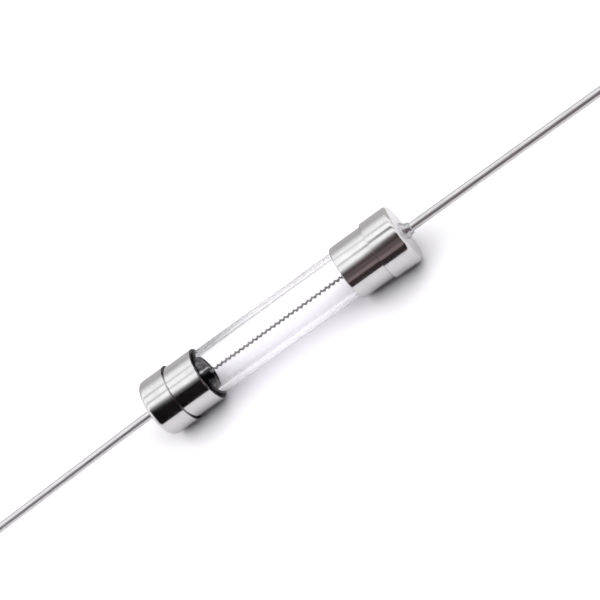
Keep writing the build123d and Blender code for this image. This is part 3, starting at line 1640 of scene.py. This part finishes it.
def stage_piece(
    name: str, bm: bmesh.types.BMesh, material: bpy.types.Material, role: Role | None
) -> bpy.types.Object:
    """Put the floor or a card drawn in millimetres on the stage.

    Args:
        name: Name of the piece.
        bm: Its mesh.
        material: Its material.
        role: What a card does. The floor has none, and is seen by every ray.

    Returns:
        The piece. The camera never sees a card, and a card casts no shadow.
    """
    bmesh.ops.scale(bm, vec=(MM, MM, MM), verts=bm.verts)
    mesh = bpy.data.meshes.new(name)
    bm.to_mesh(mesh)
    bm.free()
    mesh.materials.append(material)
    piece = bpy.data.objects.new(name, mesh)
    bpy.context.scene.collection.objects.link(piece)
    if role:
        piece.visible_camera = False
        piece.visible_shadow = False
        piece.visible_glossy, piece.visible_transmission, piece.visible_diffuse = role.value
    return piece


@dataclass
class Studio:
    """White surroundings, a pale floor, lamps overhead, and a column of cards for each cap and lead."""

    floor_z: float = -3.473
    floor_half: float = 900.0
    shown_floor: Colour = (1.45, 1.43, 1.49)
    floor_through_glass: Colour = (1.75, 1.725, 1.79)
    mirrored_floor: Colour = (0.97, 0.95, 0.97)
    real_floor: Colour = (0.70, 0.70, 0.71)
    unlit_floor: Colour = (0.40, 0.40, 0.41)
    white_from: Span = (110.0, 190.0)
    ambient: float = 0.01
    cards: tuple[Card, ...] = (
        Card("overhead_lamp", Role.LAMP, (59.0, 150.0), 1.50),
        Card("low_back_lamp", Role.LAMP, (150.0, 178.0), 0.50),
        Card("low_back_softbox", Role.SHOWN, (137.0, 161.0), 1.15, 0.54),
        Card("low_back_card", Role.SHOWN, (161.0, 172.0), 0.54, colour=WARM_WHITE),
        Card("lowest_back_card", Role.MIRRORED, (172.0, 181.0), 0.54, colour=WARM_WHITE),
        Card("left_dusk_flag", Role.MIRRORED, (-3.0, 68.0), 0.14, colour=DUSK, along=(-300.0, LEAD_SEAM)),
        Card(
            "low_black_flag",
            Role.MIRRORED,
            (-3.0, 16.0),
            0.004,
            colour=PURPLISH,
            along=(LEAD_SEAM, MIDDLE_SEAM),
        ),
        Card(
            "low_brown_flag",
            Role.MIRRORED,
            (-3.0, 20.0),
            0.045,
            colour=DEEP_BROWN,
            along=(MIDDLE_SEAM, RIGHT_SEAM),
        ),
        Card(
            "lowest_brown_flag",
            Role.MIRRORED,
            (-3.0, 20.0),
            0.03,
            colour=DEEP_BROWN,
            along=(RIGHT_SEAM, 420.0),
        ),
    )
    columns: tuple[Column, ...] = (
        Column(
            "left_wire",
            (-360.0, LEAD_SEAM),
            (
                Band((68.0, 87.0), 1.20),
                Band((87.0, 95.0), 0.72),
                Band((95.0, 116.0), 1.18),
                Band((116.0, 124.0), 0.76),
                Band((124.0, 137.0), 1.15),
            ),
        ),
        Column(
            "left_lead_cap",
            (LEAD_SEAM, LEFT_SEAM),
            (
                Band((16.0, 57.0), 0.004, colour=PURPLISH),
                Band((57.0, 67.0), 0.02, 0.24),
                Band((67.0, 77.0), 0.24, 1.20),
                Band((77.0, 87.0), 1.20),
                Band((87.0, 95.0), 0.72),
                Band((95.0, 113.0), 1.18),
                Band((113.0, 121.0), 0.71),
                Band((121.0, 137.0), 1.15),
            ),
        ),
        Column(
            "left_end_cap",
            (LEFT_SEAM, MIDDLE_SEAM),
            (
                Band((16.0, 49.0), 0.004, colour=PURPLISH),
                Band((49.0, 60.0), 0.02, 0.26),
                Band((60.0, 71.0), 0.26, 1.20),
                Band((71.0, 87.0), 1.20),
                Band((87.0, 95.0), 0.90),
                Band((95.0, 114.5), 1.18),
                Band((114.5, 122.5), 0.88),
                Band((122.5, 137.0), 1.15),
            ),
        ),
        Column(
            "right_end_cap",
            (MIDDLE_SEAM, RIGHT_SEAM),
            (
                Band((20.0, 33.0), 0.235, colour=BROWN),
                Band((33.0, 50.0), 0.13, colour=BROWN),
                Band((50.0, 53.0), 0.07, colour=BROWN),
                Band((53.0, 62.0), 0.07, 0.22, BROWN),
                Band((62.0, 77.0), 0.22, 1.20),
                Band((77.0, 91.0), 1.20),
                Band((91.0, 99.0), 0.86, colour=GREENISH),
                Band((99.0, 122.0), 1.27),
                Band((122.0, 131.0), 0.92),
                Band((131.0, 137.0), 1.15),
            ),
        ),
        Column(
            "right_lead_cap",
            (RIGHT_SEAM, 420.0),
            (
                Band((20.0, 33.0), 0.235, colour=BROWN),
                Band((33.0, 50.0), 0.13, colour=BROWN),
                Band((50.0, 63.0), 0.06, colour=BROWN),
                Band((63.0, 69.0), 0.06, 0.13, BROWN),
                Band((69.0, 80.0), 0.13, 1.20),
                Band((80.0, 91.0), 1.20),
                Band((91.0, 100.5), 0.24, colour=GREENISH),
                Band((100.5, 116.0), 1.27),
                Band((116.0, 124.0), 0.76),
                Band((124.0, 137.0), 1.15),
            ),
        ),
    )
    floor_flags: tuple[FloorFlag, ...] = (
        FloorFlag("front_floor_flag", -600.0, -85.0, WHITE, 0.01),
        FloorFlag("back_floor_flag", 12.0, 600.0, (1.0, 0.985, 0.985), 0.56),
    )

    def build(self) -> None:
        """Build the world, the floor and the cards."""
        self.world()
        self.floor()
        cards = [*self.cards, *(card for column in self.columns for card in column.cards())]
        for card in cards:
            card.build()
        for flag in self.floor_flags:
            flag.build(self.floor_z)
        LOG.info("studio: floor at %.3f mm and %d cards", self.floor_z, len(cards) + len(self.floor_flags))

    def world(self) -> None:
        """Make the surroundings white to the eye, in metal and through glass, and almost dark as light."""
        world = bpy.data.worlds.new("studio_world")
        bpy.context.scene.world = world
        world.use_nodes = True
        world.node_tree.nodes.clear()
        sheet = Sheet("studio_world", world.node_tree)
        dim, white = sheet.add("Background", Strength=self.ambient), sheet.add("Background", Strength=1.0)
        white.inputs["Color"].default_value = (*WHITE, 1.0)
        shown = sheet.seen("Is Camera Ray", "Is Glossy Ray", "Is Transmission Ray")
        mask = sheet.math("MULTIPLY", shown, sheet.first_hand())
        sheet.join(
            sheet.blend(mask, dim.outputs[0], white.outputs[0]), sheet.add("OutputWorld").inputs["Surface"]
        )

    def floor(self) -> bpy.types.Object:
        """Build the plain pale floor, which turns plain white far from the fuse.

        Returns:
            The floor.
        """
        sheet = Sheet("pale_floor")
        through = sheet.seen("Is Transmission Ray")
        shown = sheet.tint(through, self.shown_floor, self.floor_through_glass)
        mirrored = sheet.tint(sheet.seen("Is Glossy Ray"), self.real_floor, self.mirrored_floor)
        second_hand = sheet.math("LESS_THAN", sheet.first_hand(), 0.5)
        lit = sheet.cover(mirrored, second_hand, self.unlit_floor)
        seen = sheet.seen("Is Camera Ray", "Is Transmission Ray")
        matt, backdrop = sheet.add("BsdfDiffuse"), sheet.add("Emission", Strength=1.0)
        sheet.join(sheet.cover(lit, seen, shown), matt.inputs["Color"])
        far = sheet.math("MULTIPLY", sheet.spread(sheet.length(LEVEL), self.white_from), seen)
        shader = sheet.blend(far, matt.outputs[0], backdrop.outputs[0])
        bm = bmesh.new()
        bmesh.ops.create_grid(bm, x_segments=1, y_segments=1, size=self.floor_half)
        bmesh.ops.translate(bm, vec=(0.0, 0.0, self.floor_z), verts=bm.verts)
        return stage_piece("floor", bm, sheet.finish(shader), None)


@dataclass
class ViewCamera:
    """Camera that stands in front of the fuse and above it, rolled so that the tube rises to the right."""

    field_of_view: float = 22.55
    elevation: float = 54.0
    side: float = 39.16
    away: float = 156.22
    aim_x: float = 3.615
    aim_up: float = 0.592
    roll: float = -0.623
    sensor: float = 36.0
    clip: Span = (0.01, 10.0)

    def build(self) -> bpy.types.Object:
        """Build the camera and make it the scene's.

        Returns:
            The camera.
        """
        e = math.radians(self.elevation)
        level, up = Vector((0.0, math.cos(e), -math.sin(e))), Vector((0.0, math.sin(e), math.cos(e)))
        place = Vector((self.side, 0.0, 0.0)) - self.away * level
        aim = Vector((self.aim_x, 0.0, 0.0)) + self.aim_up * up
        forward = (aim - place).normalized()
        right = forward.cross(up).normalized()
        top = right.cross(forward)
        c, s = math.cos(self.roll), math.sin(self.roll)
        across, upward = c * right + s * top, c * top - s * right
        data = bpy.data.cameras.new("view_camera")
        data.sensor_width = self.sensor
        data.lens = self.sensor / 2 / math.tan(math.radians(self.field_of_view) / 2)
        data.clip_start, data.clip_end = self.clip
        camera = bpy.data.objects.new("view_camera", data)
        turn = Matrix((across, upward, -forward)).transposed().to_4x4()
        camera.matrix_world = Matrix.Translation(place * MM) @ turn
        bpy.context.scene.collection.objects.link(camera)
        bpy.context.scene.camera = camera
        return camera


def dress_hidden_nodes() -> None:
    """Give the CAD nodes that stay as they are their finish."""
    for end in End:
        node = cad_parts[f"{end.word}_joint_solder"]
        node.data.materials.clear()
        node.data.materials.append(SOLDER.material())


def main() -> None:
    """Build every piece, then the studio and the camera."""
    bpy.context.scene.view_settings.view_transform = "Standard"
    GlassTube().build()
    CapSlug(End.LEFT, rim=9.425, core_end=10.33).build()
    CapSlug(End.RIGHT, rim=10.025, core_end=10.93).build()
    Element().build()
    for end, face in ((End.LEFT, LEFT_FACE), (End.RIGHT, RIGHT_FACE)):
        EndCap(end).build()
        LeadCap(end, face).build()
    Lead(End.LEFT, head=16.04, cap_face=LEFT_FACE, collar_end=LEFT_COLLAR, droop=2.2).build()
    Lead(End.RIGHT, head=16.485, cap_face=RIGHT_FACE, collar_end=RIGHT_COLLAR).build()
    LeadSolder(End.LEFT, face=LEFT_FACE, height=0.38, width=0.36, collar_end=LEFT_COLLAR).build()
    LeadSolder(
        End.RIGHT,
        face=RIGHT_FACE,
        height=0.92,
        width=0.45,
        collar_end=RIGHT_COLLAR,
        lumps=(
            Lump(along=0.36, angle=-62.0, length=0.42, spread=58.0, rise=0.36),
            Lump(along=0.10, angle=60.0, length=0.34, spread=50.0, rise=0.26),
            Lump(along=0.62, angle=118.0, length=0.26, spread=40.0, rise=0.10),
        ),
    ).build()
    dress_hidden_nodes()
    Studio().build()
    ViewCamera().build()


if __name__ == "__main__":
    main()
